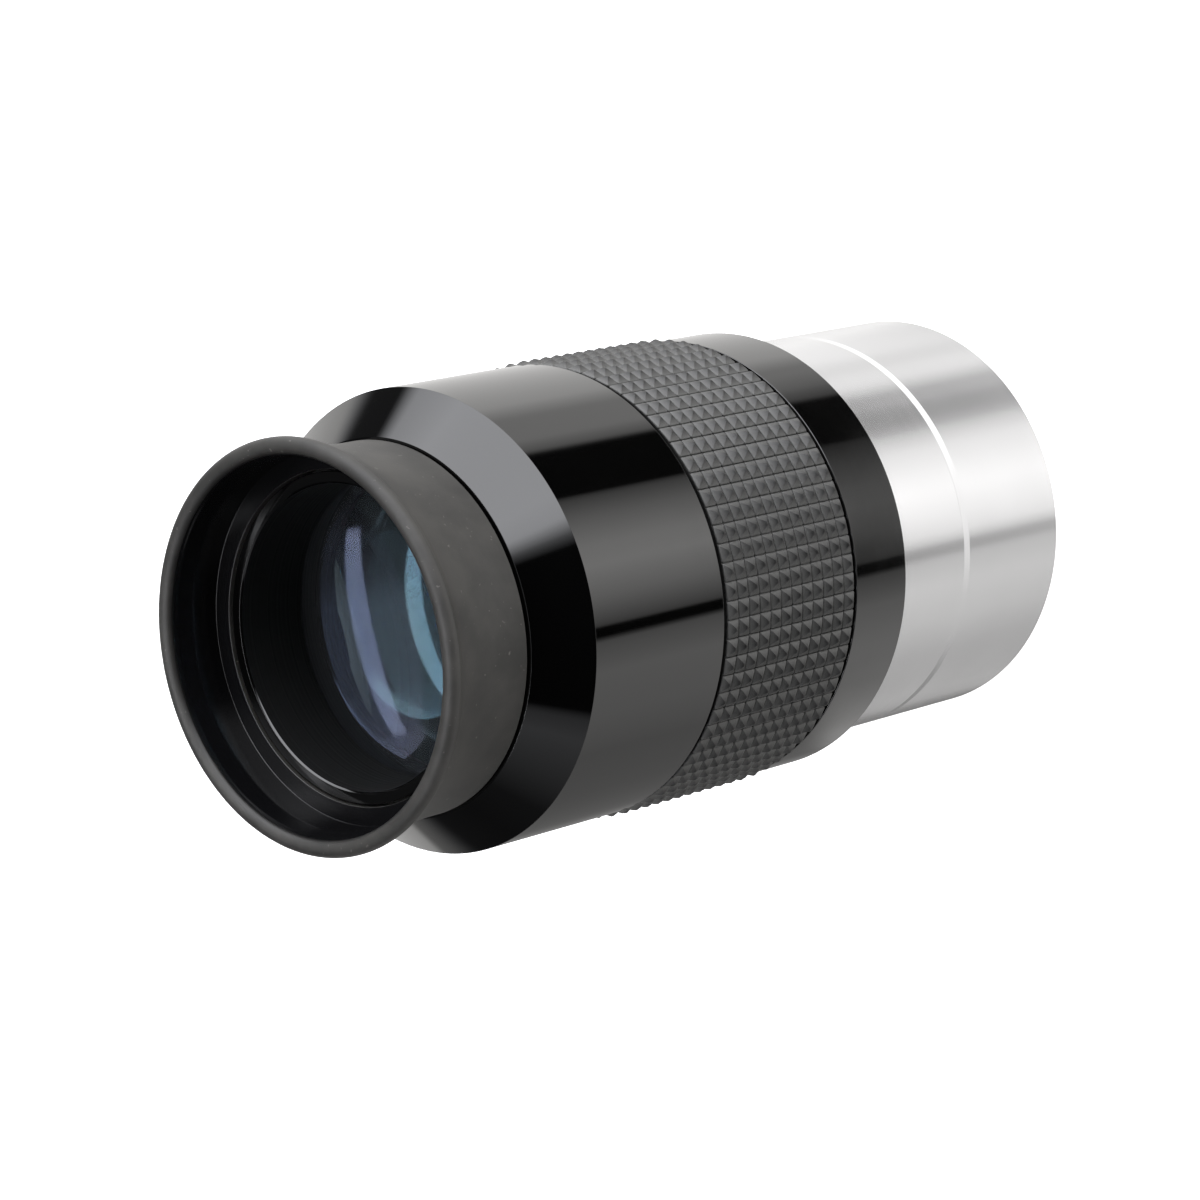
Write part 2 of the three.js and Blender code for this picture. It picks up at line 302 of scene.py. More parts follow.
class Shader(Nodes):
    """A material with one Principled node, and short calls for what feeds it."""

    def __init__(self, name, **values):
        self.material = bpy.data.materials.new(name)
        self.material.use_nodes = True
        super().__init__(self.material.node_tree)
        self.surface = self.tree.nodes["Principled BSDF"]
        for socket, value in values.items():
            self.surface.inputs[socket.replace("_", " ")].default_value = value
        self.place = self.node("ShaderNodeTexCoord").outputs["Object"]

    def feed(self, socket, source):
        self.link(source, self.surface.inputs[socket])

    def noise(self, scale, detail=3.0, roughness=0.5, place=None):
        """Noise whose features are about 1 / scale millimetres wide."""
        made = self.node("ShaderNodeTexNoise")
        made.inputs["Scale"].default_value = scale / MM
        made.inputs["Detail"].default_value = detail
        made.inputs["Roughness"].default_value = roughness
        self.link(place or self.place, made.inputs["Vector"])
        return made.outputs["Fac"]

    def rings(self, scale):
        """Fine turning marks: noise of the height and the radius only."""
        split = self.node("ShaderNodeSeparateXYZ")
        self.link(self.place, split.inputs[0])
        x, y, z = split.outputs
        square = self.maths("ADD", self.maths("MULTIPLY", x, x), self.maths("MULTIPLY", y, y))
        join = self.node("ShaderNodeCombineXYZ")
        self.link(self.maths("SQRT", square), join.inputs["X"])
        self.link(z, join.inputs["Z"])
        return self.noise(scale, detail=2.0, place=join.outputs[0])

    def tinted_where(self, attribute, colour, tint):
        """Turns a colour into a tint where a mesh attribute rises from 0 to 1."""
        share = self.node("ShaderNodeAttribute", attribute_name=attribute)
        return self.mix_colour(share.outputs["Fac"], colour, tint)

    def turned_finish(self, amount):
        """Spreads reflections along the axis, as the fine rings that turning leaves do."""
        tangent = self.node("ShaderNodeTangent", direction_type="RADIAL", axis="Z")
        self.feed("Tangent", tangent.outputs[0])
        self.surface.inputs["Anisotropic"].default_value = amount
        self.surface.inputs["Anisotropic Rotation"].default_value = 0.25

    def bump(self, height, depth):
        """A bump of that depth in millimetres."""
        made = self.node("ShaderNodeBump")
        made.inputs["Strength"].default_value = 1.0
        made.inputs["Distance"].default_value = depth * MM
        self.link(height, made.inputs["Height"])
        self.link(made.outputs["Normal"], self.surface.inputs["Normal"])


def chrome_material():
    shader = Shader("satin_chrome", Metallic=1.0, Base_Color=(0.73, 0.73, 0.74, 1))
    marks = shader.rings(6.0)
    cloud = shader.noise(0.12, detail=2.0)
    tone = shader.remap(shader.maths("ADD", marks, cloud), 0.7, 1.3, 0.16, 0.19)
    shader.feed("Roughness", tone)
    shader.turned_finish(0.95)
    return shader.material


def anodised_material():
    shader = Shader("black_anodised", Base_Color=(0.0015, 0.0015, 0.0015, 1), IOR=1.75)
    marks = shader.rings(5.0)
    cloud = shader.noise(0.25, detail=3.0)
    tone = shader.remap(shader.maths("ADD", marks, cloud), 0.7, 1.3, 0.05, 0.07)
    shader.feed("Roughness", tone)
    shader.turned_finish(0.5)
    shader.bump(marks, 0.0002)
    return shader.material


def inner_black_material():
    shader = Shader("matt_inner_black", Base_Color=(0.004, 0.004, 0.0042, 1), IOR=1.4)
    marks = shader.rings(3.0)
    shader.feed("Roughness", shader.remap(marks, 0.3, 0.7, 0.6, 0.85))
    shader.bump(marks, 0.004)
    return shader.material


def grip_rubber_material():
    shader = Shader("grip_rubber", IOR=1.45)
    grain = shader.noise(3.0, detail=5.0, roughness=0.7)
    cloud = shader.noise(0.35, detail=4.0)
    mean = shader.maths("MULTIPLY", shader.maths("ADD", grain, cloud), 0.5)
    spread = shader.remap(mean, 0.38, 0.62, 0.0, 1.0)
    worn = shader.mix_colour(spread, (0.009, 0.009, 0.0088), (0.030, 0.030, 0.029))
    # painted highlight: the edges round each pyramid get a lighter colour
    shader.feed("Base Color", shader.tinted_where(EDGE_HIGHLIGHT, worn, (0.11, 0.11, 0.107)))
    shader.feed("Roughness", shader.remap(grain, 0.3, 0.7, 0.25, 0.40))
    shader.bump(grain, 0.05)
    return shader.material


def eyecup_rubber_material():
    """Dusty rubber outside. Inside the cup the mesh's own attribute darkens it to deep black, a painted
    shade, and makes it glossier.
    """
    shader = Shader("eyecup_rubber", IOR=1.5)
    grain = shader.noise(6.0, detail=4.0, roughness=0.6)
    cloud = shader.noise(0.16, detail=4.0, roughness=0.6)
    spread = shader.remap(cloud, 0.36, 0.64, 0.0, 1.0)
    clean = shader.mix_colour(spread, (0.032, 0.031, 0.029), (0.052, 0.050, 0.046))
    specks = shader.remap(shader.noise(1.6, detail=2.0), 0.70, 0.76, 0.0, 1.0)
    outside = shader.mix_colour(specks, clean, (0.12, 0.115, 0.105))
    # painted shade: the inside of the cup is darkened to near black
    shader.feed("Base Color", shader.tinted_where(INSIDE_SHADE, outside, (0.004, 0.004, 0.0045)))
    rough = shader.mix_colour(cloud, (0.45,) * 3, (0.6,) * 3)
    shader.feed("Roughness", shader.tinted_where(INSIDE_SHADE, rough, (0.15,) * 3))
    shader.bump(grain, 0.012)
    return shader.material


def steel_material():
    shader = Shader("grub_screw_steel", Metallic=1.0, Base_Color=(0.1, 0.1, 0.105, 1))
    grain = shader.noise(8.0)
    shader.feed("Roughness", shader.remap(grain, 0.3, 0.7, 0.3, 0.45))
    shader.bump(grain, 0.004)
    return shader.material


GLASS_CLARITY = 0.99  # the rest is dust and haze


def glass_material(name, tint, film, film_index):
    """Polished glass with an anti-reflection film of that thickness in nanometres."""
    shader = Shader(name, Base_Color=(*tint, 1), IOR=1.6, Transmission_Weight=GLASS_CLARITY)
    shader.surface.inputs["Thin Film Thickness"].default_value = film
    shader.surface.inputs["Thin Film IOR"].default_value = film_index
    dust = shader.noise(0.5, detail=5.0, roughness=0.7)
    shader.feed("Roughness", shader.remap(dust, 0.4, 0.8, 0.0, 0.03))
    return shader.material


CHROME = chrome_material()
ANODISED = anodised_material()
INNER_BLACK = inner_black_material()
GRIP_RUBBER = grip_rubber_material()
CUP_RUBBER = eyecup_rubber_material()
STEEL = steel_material()
VIOLET_GLASS = glass_material("coated_glass_violet", (0.88, 0.93, 1.0), 178.0, 1.45)
TEAL_GLASS = glass_material("coated_glass_teal", (0.88, 0.98, 1.0), 285.0, 1.43)


# ---------------------------------------------------------------- chrome barrel

BARREL_BORE = 22.8
SPIGOT_RADIUS = BODY_BORE - FIT_GAP
SEAT_DEPTH = 0.9  # how far the barrel's shoulder goes into the body
SEAT_Z = SHOULDER_Z + SEAT_DEPTH
SPIGOT_TOP = high("chrome_barrel")
FILTER_THREAD = 23.75
FILTER_THREAD_TOP = 6.3
FILTER_RELIEF = 24.05
FILTER_RELIEF_TOP = 7.3
THREAD_PITCH = 0.75
THREAD_DEPTH = 0.38
THREAD_STEPS = 8  # points across one pitch
GROOVE_Z = 18.95
GROOVE_HALF_WIDTH = 0.6
GROOVE_FLOOR_SHARE = 0.75  # its floor lies above its middle, so its lower side slopes gently
GROOVE_DEPTH = 0.24
GROOVE_EDGE = 0.1
BARREL_EDGE = 0.3


def thread_points(radius, start_z, end_z):
    count = round(abs(end_z - start_z) / THREAD_PITCH * THREAD_STEPS)
    return stretch((radius, start_z), (radius, end_z), count)


def chrome_barrel():
    groove_low = GROOVE_Z - GROOVE_HALF_WIDTH
    groove_high = GROOVE_Z + GROOVE_HALF_WIDTH
    groove_floor = groove_low + 2 * GROOVE_HALF_WIDTH * GROOVE_FLOOR_SHARE
    spigot_low = SEAT_Z + THREAD_PITCH
    spigot = SPIGOT_RADIUS - THREAD_DEPTH / 2
    points = outline(
        (FILTER_THREAD + BARREL_EDGE, 0, BREAK),
        (BARREL_RADIUS - BARREL_EDGE, 0, BREAK),
        (BARREL_RADIUS, BARREL_EDGE, BREAK),
        (BARREL_RADIUS, groove_low, GROOVE_EDGE),
        (BARREL_RADIUS - GROOVE_DEPTH, groove_floor, BREAK),
        (BARREL_RADIUS, groove_high, CRISP),
        (BARREL_RADIUS, SEAT_Z, BREAK),
        (SPIGOT_RADIUS - THREAD_DEPTH, SEAT_Z),
        (SPIGOT_RADIUS - THREAD_DEPTH, spigot_low),
        *thread_points(spigot, spigot_low, SPIGOT_TOP - BREAK),
        (spigot, SPIGOT_TOP),
        (BARREL_BORE, SPIGOT_TOP, BREAK),
        (BARREL_BORE, FILTER_RELIEF_TOP, BREAK),
        (FILTER_RELIEF, FILTER_RELIEF_TOP),
        (FILTER_RELIEF, FILTER_THREAD_TOP),
        *thread_points(FILTER_THREAD, FILTER_THREAD_TOP, BARREL_EDGE),
        (FILTER_THREAD, BARREL_EDGE),
    )
    cuts = (
        thread(FILTER_THREAD, BARREL_EDGE, FILTER_THREAD_TOP, THREAD_DEPTH, THREAD_PITCH),
        thread(spigot, spigot_low, SPIGOT_TOP - BREAK, THREAD_DEPTH, THREAD_PITCH),
    )

    def relief(turn, r, z):
        for one in cuts:
            moved = one(turn, r, z)
            if moved != (r, z):
                return moved
        return r, z

    return turned("barrel_shell", points, relief)


barrel = chrome_barrel()
finish_piece(barrel, CHROME, "nosepiece", "chrome_plate", "chrome_barrel")
paint_inside(barrel, INNER_BLACK, BARREL_BORE + FIT_GAP, FILTER_RELIEF_TOP, SPIGOT_TOP)


# ---------------------------------------------------------------- rear band and the tube under the grip

SHOULDER_EDGE = 0.25
SEAT_RADIUS = 26.0
BODY_TUBE_TOP = high("main_body")
GRIP_START_Z = low("rubber_grip") - SEAM


def rear_band():
    counterbore = BARREL_RADIUS + FIT_GAP
    points = outline(
        (BODY_RADIUS, SHOULDER_Z, SHOULDER_EDGE),
        (BODY_RADIUS, GRIP_START_Z, BREAK),
        (SEAT_RADIUS, GRIP_START_Z),
        (SEAT_RADIUS, BODY_TUBE_TOP, BREAK),
        (BODY_BORE, BODY_TUBE_TOP, BREAK),
        (BODY_BORE, SEAT_Z + SEAM),
        (counterbore, SEAT_Z + SEAM),
        (counterbore, SHOULDER_Z, BREAK / 2),
    )
    return turned("rear_band", points)


finish_piece(rear_band(), ANODISED, "body", "black_anodised", "main_body")


# ---------------------------------------------------------------- rubber grip

GRIP_LOW = low("rubber_grip")
GRIP_HIGH = high("rubber_grip")
GRIP_BORE = SEAT_RADIUS + FIT_GAP
GRIP_ROWS = 12
GRIP_COLUMNS = 76
GRIP_REAR_RIM = 0.15  # heights of the plain rims beyond the pyramids
GRIP_FRONT_RIM = 0.4
GRIP_RIM_RADIUS = 26.5
CORNER_SHARE = 0.12  # how far the pyramids' arrises are blunted, as a share of their half width
# Steps from the groove up a pyramid: share of the half cell, and millimetres below the peak.
PYRAMID_STEPS = ((0.97, 0.80), (0.95, 0.68), (0.93, 0.62), (0.87, 0.57), (0.2, 0.08), (0.09, 0.0))
HIGHLIGHT_DEPTH = (0.56, 0.69)  # the painted highlight lies between these depths below the peaks


def cell_loop(share):
    """The eight points of a blunted square with that half width."""
    near = share * (1 - CORNER_SHARE)
    return [
        (share, -near),
        (share, near),
        (near, share),
        (-near, share),
        (-share, near),
        (-share, -near),
        (-near, -share),
        (near, -share),
    ]


def grip():
    base = GRIP_RADIUS - PYRAMID_STEPS[0][1]
    half_turn = 0.5 / GRIP_COLUMNS
    pattern_low = GRIP_LOW + GRIP_REAR_RIM
    pattern_high = GRIP_HIGH - GRIP_FRONT_RIM
    half_height = (pattern_high - pattern_low) / GRIP_ROWS / 2
    vertices = []
    faces = []

    def add_loop(points, turn, z, radius):
        first = len(vertices)
        for u, v in points:
            vertices.append(place(radius, turn + u * half_turn, z + v * half_height))
        return list(range(first, first + len(points)))

    for column in range(GRIP_COLUMNS):
        turn = 2 * half_turn * column
        for row in range(GRIP_ROWS):
            z = pattern_low + half_height * (2 * row + 1)
            border = add_loop(cell_loop(1.0), turn, z, base)
            corners = add_loop([(1, 1), (-1, 1), (-1, -1), (1, -1)], turn, z, base)
            for i, corner in enumerate(corners):
                faces.append((border[2 * i + 1], corner, border[(2 * i + 2) % len(border)]))
            for share, depth in PYRAMID_STEPS:
                inner = add_loop(cell_loop(share), turn, z, GRIP_RADIUS - depth)
                for i in range(len(inner)):
                    faces.append((border[i - 1], border[i], inner[i], inner[i - 1]))
                border = inner
            faces.append(tuple(border))

    rim = outline(
        (base, pattern_high),
        (GRIP_RIM_RADIUS, pattern_high),
        (GRIP_RIM_RADIUS, GRIP_HIGH, BREAK),
        (GRIP_BORE, GRIP_HIGH),
        (GRIP_BORE, GRIP_LOW),
        (base, GRIP_LOW, BREAK),
        (base, pattern_low),
    )
    edge = (-1, -(1 - CORNER_SHARE), 1 - CORNER_SHARE)
    turns = [half_turn * (2 * column + u) for column in range(GRIP_COLUMNS) for u in edge]
    first = len(vertices)
    for turn in turns:
        vertices.extend(place(r, turn, z) for r, z in rim)
    for i in range(len(turns)):
        here = first + i * len(rim)
        beyond = first + (i + 1) % len(turns) * len(rim)
        for j in range(len(rim) - 1):
            faces.append((here + j, beyond + j, beyond + j + 1, here + j + 1))
    piece = mesh_object("grip_sleeve", vertices, faces)
    # marks the edges round each pyramid that get a painted highlight
    paint_points(piece, EDGE_HIGHLIGHT, lambda r, z: HIGHLIGHT_DEPTH[0] < GRIP_RADIUS - r < HIGHLIGHT_DEPTH[1])
    return piece


finish_piece(grip(), GRIP_RUBBER, "body", "grip_rubber", "rubber_grip")


# ---------------------------------------------------------------- top housing

CONE_START_Z = 90.0
CONE_END_Z = 95.2
CONE_TOP_RADIUS = BODY_RADIUS - (CONE_END_Z - CONE_START_Z)
CONE_EDGE = 0.08
NECK_RADIUS = 19.4
NECK_GROOVE_RADIUS = 18.8
NECK_GROOVE_LOW = 97.6
NECK_GROOVE_HIGH = 100.2
EYE_BORE = 18.0
BORE_CHAMFER = 0.2
LENS_POCKET_RADIUS = EYE_GLASS_RADIUS + FIT_GAP
LENS_POCKET_TOP = 92.4
CELL_BORE_TOP = 91.0


def top_housing():
    pocket = SEAT_RADIUS + FIT_GAP
    points = outline(
        (BODY_RADIUS, FRONT_BAND_Z, BREAK),
        (BODY_RADIUS, CONE_START_Z, CONE_EDGE),
        (CONE_TOP_RADIUS, CONE_END_Z, CONE_EDGE),
        (NECK_RADIUS, CONE_END_Z),
        (NECK_RADIUS, NECK_GROOVE_LOW),
        (NECK_GROOVE_RADIUS, NECK_GROOVE_LOW),
        (NECK_GROOVE_RADIUS, NECK_GROOVE_HIGH),
        (NECK_RADIUS, NECK_GROOVE_HIGH),
        (NECK_RADIUS, NECK_TOP_Z, BREAK),
        (EYE_BORE + BORE_CHAMFER, NECK_TOP_Z, CRISP),
        (EYE_BORE, NECK_TOP_Z - BORE_CHAMFER, CRISP),
        (EYE_BORE, LENS_POCKET_TOP),
        (LENS_POCKET_RADIUS, LENS_POCKET_TOP),
        (LENS_POCKET_RADIUS, CELL_BORE_TOP),
        (BODY_BORE, CELL_BORE_TOP),
        (BODY_BORE, BODY_TUBE_TOP + FIT_GAP),
        (pocket, BODY_TUBE_TOP + FIT_GAP),
        (pocket, FRONT_BAND_Z),
    )
    return turned("front_housing", points)


housing = top_housing()
finish_piece(housing, ANODISED, "body", "black_anodised", "top_housing")
paint_inside(housing, INNER_BLACK, EYE_BORE + SAME, LENS_POCKET_TOP, NECK_TOP_Z - BORE_CHAMFER)


# ---------------------------------------------------------------- rings and cells inside

STOP_APERTURE = 21.3
STOP_LAND = 0.4
STOP_FLARE = 0.7
SLOT_WIDTH = 2.0
SLOT_DEPTH = 0.9
SLOT_WALL = 1e-4  # half the thickness of a slot's wall, as a share of a turn
EYE_RING_BORE = 17.5
FIELD_RING_BORE = 21.3
LOCK_RING_BORE = 22.2
SPACER_BORE = 21.0
CELL_BORE = FIELD_GLASS_RADIUS + FIT_GAP
CELL_LIP_Z = 77.2
CELL_LIP_RADIUS = 20.7


def slot_turns(radius):
    """Turns for a ring with two opposite slots, with a close pair at each wall of a slot."""
    half = math.asin(SLOT_WIDTH / 2 / radius) / (2 * math.pi)
    walls = [centre + side * half for centre in (0.0, 0.5) for side in (-1, 1)]
    pairs = [(wall + side * SLOT_WALL) % 1.0 for wall in walls for side in (-1, 1)]
    return sorted(EVEN_TURNS + pairs), half


def slotted(name, node, bore_corners):
    """A threaded ring with two spanner slots in its lower face."""
    radius = outer(node)
    bottom = low(node)
    turns, half = slot_turns(radius)

    def relief(turn, r, z):
        off_centre = min(turn % 0.5, 0.5 - turn % 0.5)
        if off_centre <= half and z < bottom + SLOT_DEPTH:
            return r, bottom + SLOT_DEPTH
        return r, z

    points = outline(
        (radius, bottom, BREAK),
        (radius, high(node), BREAK),
        *bore_corners,
    )
    return turned(name, points, relief, turns)


def plain_bore(node, radius):
    return (radius, high(node), BREAK), (radius, low(node), BREAK)


def field_stop():
    node = "field_stop_ring"
    land = (low(node) + high(node)) / 2
    return slotted(
        "field_stop",
        node,
        (
            (STOP_APERTURE + STOP_FLARE, high(node)),
            (STOP_APERTURE, land + STOP_LAND / 2),
            (STOP_APERTURE, land - STOP_LAND / 2),
            (STOP_APERTURE + STOP_FLARE, low(node)),
        ),
    )


def plain_ring(name, node, bore):
    points = outline(
        (outer(node), low(node), BREAK),
        (outer(node), high(node), BREAK),
        *plain_bore(node, bore),
    )
    return turned(name, points)


def lens_cell():
    node = "lens_cell"
    points = outline(
        (CELL_RADIUS, low(node), BREAK),
        (CELL_RADIUS, high(node), BREAK),
        (CELL_LIP_RADIUS, high(node), BREAK),
        (CELL_LIP_RADIUS, CELL_LIP_Z, BREAK),
        (CELL_BORE, CELL_LIP_Z),
        (CELL_BORE, low(node), BREAK),
    )
    return turned("field_cell", points)


finish_piece(field_stop(), INNER_BLACK, "nosepiece", "inner_black", "field_stop_ring")
for piece_name, node_name, bore_radius in (
    ("field_ring", "field_retaining_ring", FIELD_RING_BORE),
    ("eye_ring", "eye_retaining_ring", EYE_RING_BORE),
    ("lock_ring", "cell_lock_ring", LOCK_RING_BORE),
):
    slot_ring = slotted(piece_name, node_name, plain_bore(node_name, bore_radius))
    finish_piece(slot_ring, INNER_BLACK, "body", "inner_black", node_name)
for piece_name, node_name, bore_radius in (
    ("field_spacer", "lens_spacer", SPACER_BORE),
    ("eye_cell", "eye_lens_cell", LENS_POCKET_RADIUS),
):
    piece = plain_ring(piece_name, node_name, bore_radius)
    finish_piece(piece, INNER_BLACK, "body", "inner_black", node_name)
finish_piece(lens_cell(), INNER_BLACK, "body", "inner_black", "lens_cell")


# ---------------------------------------------------------------- lenses

LENS_RINGS = 24
EDGE_CHAMFER = 0.25
EYE_TOP = (92.2, 180)  # height of the edge, radius of curvature
EYE_LOW = (83.8, -60)
CENTRE_TOP = (76.3, 70)
CENTRE_LOW = (73.8, -70)
FIELD_TOP = (64.3, 55)
FIELD_LOW = (52.4, 90)


def lens_surface(radius, edge, curve, r):
    """Height of a spherical surface, which bulges towards the eye where curve is positive."""
    size = abs(curve)
    sag = math.sqrt(size**2 - r**2) - math.sqrt(size**2 - radius**2)
    return edge + math.copysign(sag, curve)


def lens(name, nodes, below, above):
    """Glass with chamfered edges, which blacken_edges blackens afterwards. A cemented pair is one piece
    of glass to look at.
    """
    radius = outer(nodes[0])
    polished = radius - EDGE_CHAMFER
    steps = [polished * i / LENS_RINGS for i in range(LENS_RINGS + 1)]
    lower = [(r, lens_surface(radius, *below, r)) for r in steps]
    upper = [(r, lens_surface(radius, *above, r)) for r in reversed(steps)]
    low_edge = (radius, lower[-1][1] + EDGE_CHAMFER)
    high_edge = (radius, upper[0][1] - EDGE_CHAMFER)
    return turned(name, [*lower, low_edge, high_edge, *upper])


def blacken_edges(piece, radius):
    piece.data.materials.append(INNER_BLACK)
    for face in piece.data.polygons:
        if math.hypot(face.center.x, face.center.y) / MM > radius - EDGE_CHAMFER:
            face.material_index = 1


for piece_name, node_names, below_surface, above_surface, glass in (
    ("eye_doublet", ("eye_flint_lens", "eye_crown_lens"), EYE_LOW, EYE_TOP, VIOLET_GLASS),
    ("centre_glass", ("centre_lens",), CENTRE_LOW, CENTRE_TOP, TEAL_GLASS),
    ("field_doublet", ("field_crown_lens", "field_flint_lens"), FIELD_LOW, FIELD_TOP, TEAL_GLASS),
):
    piece = lens(piece_name, node_names, below_surface, above_surface)
    finish_piece(piece, glass, "body", "coated_glass", *node_names)
    blacken_edges(piece, outer(node_names[0]))


# ---------------------------------------------------------------- rubber eyecup

CUP_LOW = low("rubber_eyecup")
CUP_BASE_RADIUS = 22.17
CUP_FLARE = 1.33
CUP_FLARE_POWER = 2.6
CUP_FLARE_TOP = 107.0
CUP_WALL_STEPS = 46  # steps up the outer wall
CUP_LIP_STEPS = 4
CUP_THROAT_STEPS = 10
CUP_SKIRT_STEPS = 14
CUP_CHAMFER = 0.15
CUP_FLOOR_EDGE = 0.2  # the skirt's inner wall ends this far above the floor
CUP_FLOOR_ROUND = 0.1
CUP_FLOOR_DROP = 0.1  # the floor slopes down this much towards the collar's bore
CUP_FOLD_Z = 102.4  # height of the floor inside the cup, about where the real cup folds
CUP_SKIRT_RADIUS = 21.9
CUP_SKIRT_TOP = 106.0
CUP_BEAD_RADIUS = 19.1
LIP_RADIUS = 1.05
LIP_CENTRE_RADIUS = 23.26
LIP_CENTRE_Z = CUP_TOP_Z - LIP_RADIUS
DARK_LIP_SHARE = 0.85  # the painted shade inside fades out over this share of the lip
LIP_STEPS = 22
LIP_START = -40  # where the lip leaves the wall, in degrees from straight out
LIP_END = 205
WALL_TOP_Z = 107.95
WALL_TOP_RADIUS = 23.88


def cup_radius(z):
    """Outer radius of the wall, which flares towards the lip."""
    share = (z - CUP_LOW) / (CUP_FLARE_TOP - CUP_LOW)
    return CUP_BASE_RADIUS + CUP_FLARE * share**CUP_FLARE_POWER


def inside_shade_share(r, z):
    """How much painted shade a point gets: 0 on the outside and the top of the lip, 1 on the inside
    below the lip.
    """
    if z < CUP_FOLD_Z - BREAK or r > LIP_CENTRE_RADIUS:
        return 0.0
    if z < CUP_FLARE_TOP and r > cup_radius(z) - FIT_GAP:
        return 0.0
    return min(1.0, max(0.0, 1 - (z - LIP_CENTRE_Z) / (LIP_RADIUS * DARK_LIP_SHARE)))


def eyecup():
    collar_bore = NECK_RADIUS + FIT_GAP
    wall_step = (CUP_FLARE_TOP - CUP_LOW) / CUP_WALL_STEPS
    heights = [CUP_LOW + i * wall_step for i in range(CUP_WALL_STEPS + 1)]
    wall = [(cup_radius(z), z) for z in heights]
    wall_top = (WALL_TOP_RADIUS, WALL_TOP_Z)
    skirt_top = (CUP_SKIRT_RADIUS, CUP_SKIRT_TOP)
    skirt_foot = (CUP_SKIRT_RADIUS, CUP_FOLD_Z + CUP_FLOOR_EDGE)
    lip = []
    for i in range(LIP_STEPS + 1):
        angle = math.radians(LIP_START + (LIP_END - LIP_START) * i / LIP_STEPS)
        r = LIP_CENTRE_RADIUS + LIP_RADIUS * math.cos(angle)
        lip.append((r, LIP_CENTRE_Z + LIP_RADIUS * math.sin(angle)))
    points = outline(
        (CUP_BASE_RADIUS - CUP_CHAMFER, CUP_LOW),
        (CUP_BASE_RADIUS, CUP_LOW + CUP_CHAMFER),
        *wall[1:],
        *stretch(wall[-1], wall_top, CUP_LIP_STEPS)[1:],
        wall_top,
        *lip,
        *stretch(lip[-1], skirt_top, CUP_THROAT_STEPS)[1:],
        *stretch(skirt_top, skirt_foot, CUP_SKIRT_STEPS),
        (CUP_SKIRT_RADIUS, CUP_FOLD_Z, CUP_FLOOR_ROUND),
        (collar_bore, CUP_FOLD_Z - CUP_FLOOR_DROP, BREAK),
        (collar_bore, NECK_GROOVE_HIGH - FIT_GAP),
        (CUP_BEAD_RADIUS, NECK_GROOVE_HIGH - FIT_GAP),
        (CUP_BEAD_RADIUS, NECK_GROOVE_LOW + FIT_GAP),
        (collar_bore, NECK_GROOVE_LOW + FIT_GAP),
        (collar_bore, CUP_LOW),
    )
    piece = turned("eyecup", points)
    piece.data.materials.append(CUP_RUBBER)
    # stores how much painted shade each point inside the cup gets
    paint_points(piece, INSIDE_SHADE, inside_shade_share)
    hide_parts("rubber_eyecup")
    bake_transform(piece)


eyecup()


# ---------------------------------------------------------------- grub screws

for number in (1, 2, 3):
    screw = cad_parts[f"grub_screw_{number}"]
    screw.data.materials.clear()
    screw.data.materials.append(STEEL)


# ---------------------------------------------------------------- camera

CAMERA_TARGET = (-2.226, -0.014, 59.85)
CAMERA_DISTANCE = 525.4
CAMERA_HEADING = -0.351  # from +Y towards +X
CAMERA_ELEVATION = 46.28
CAMERA_ROLL = 103.06  # the camera lies on its side, so the eyepiece does in the picture
CAMERA_LENS = 129.36
SENSOR = 36.0
CAMERA_REACH = 10.0  # in metres


def camera():
    data = bpy.data.cameras.new("camera")
    data.lens = CAMERA_LENS
    data.sensor_width = SENSOR
    data.clip_end = CAMERA_REACH
    heading = math.radians(CAMERA_HEADING)
    elevation = math.radians(CAMERA_ELEVATION)
    roll = math.radians(CAMERA_ROLL)
    forward = Vector(
        (
            math.sin(heading) * math.cos(elevation),
            math.cos(heading) * math.cos(elevation),
            -math.sin(elevation),
        )
    )
    level_right = Vector((math.cos(heading), -math.sin(heading), 0.0))
    level_up = level_right.cross(forward)
    up = level_up * math.cos(roll) + level_right * math.sin(roll)
    right = forward.cross(up)
    rotation = Matrix((right, up, -forward)).transposed().to_4x4()
    target = Vector(CAMERA_TARGET) * MM
    eye = target - forward * CAMERA_DISTANCE * MM
    made = bpy.data.objects.new("camera", data)
    made.matrix_world = Matrix.Translation(eye) @ rotation
    bpy.context.scene.collection.objects.link(made)
    bpy.context.scene.camera = made


camera()


# ---------------------------------------------------------------- studio

# Cards and gaps round the table as (azimuth, radiance), which upright walls seen from above mirror.
TABLE_LIGHT = (
    (-180, 0.42),
    (-157, 0.68),
    (-135, 0.85),
    (-123, 0.65),
    (-119, 0.55),
    (-117.5, 0.0),
    (-112.5, 0.0),
    (-111, 0.40),
    (-97, 1.10),
    (-82, 1.65),
    (-72, 1.50),
    (-58, 0.90),
    (-47, 0.35),
    (-45, 0.0),
    (-18.5, 0.0),
    (-15.5, 0.60),
    (-8, 1.00),
    (8, 0.85),
    (20, 1.30),
    (60, 1.10),
    (86, 0.95),
    (95, 0.30),
    (120, 0.22),
    (150, 0.30),
    (180, 0.42),
)
# How much stronger the cards are at the height that the rear band mirrors.
MIDDLE_SHARE = (
    (-180, 2.0),
    (-168, 1.6),
    (-150, 1.25),
    (-138, 1.0),
    (-126, 0.8),
    (-105, 0.4),
    (-45, 0.35),
    (-10, 0.6),
    (4, 1.0),
    (112, 1.0),
    (124, 2.7),
    (140, 3.0),
    (160, 2.5),
    (180, 2.0),
)
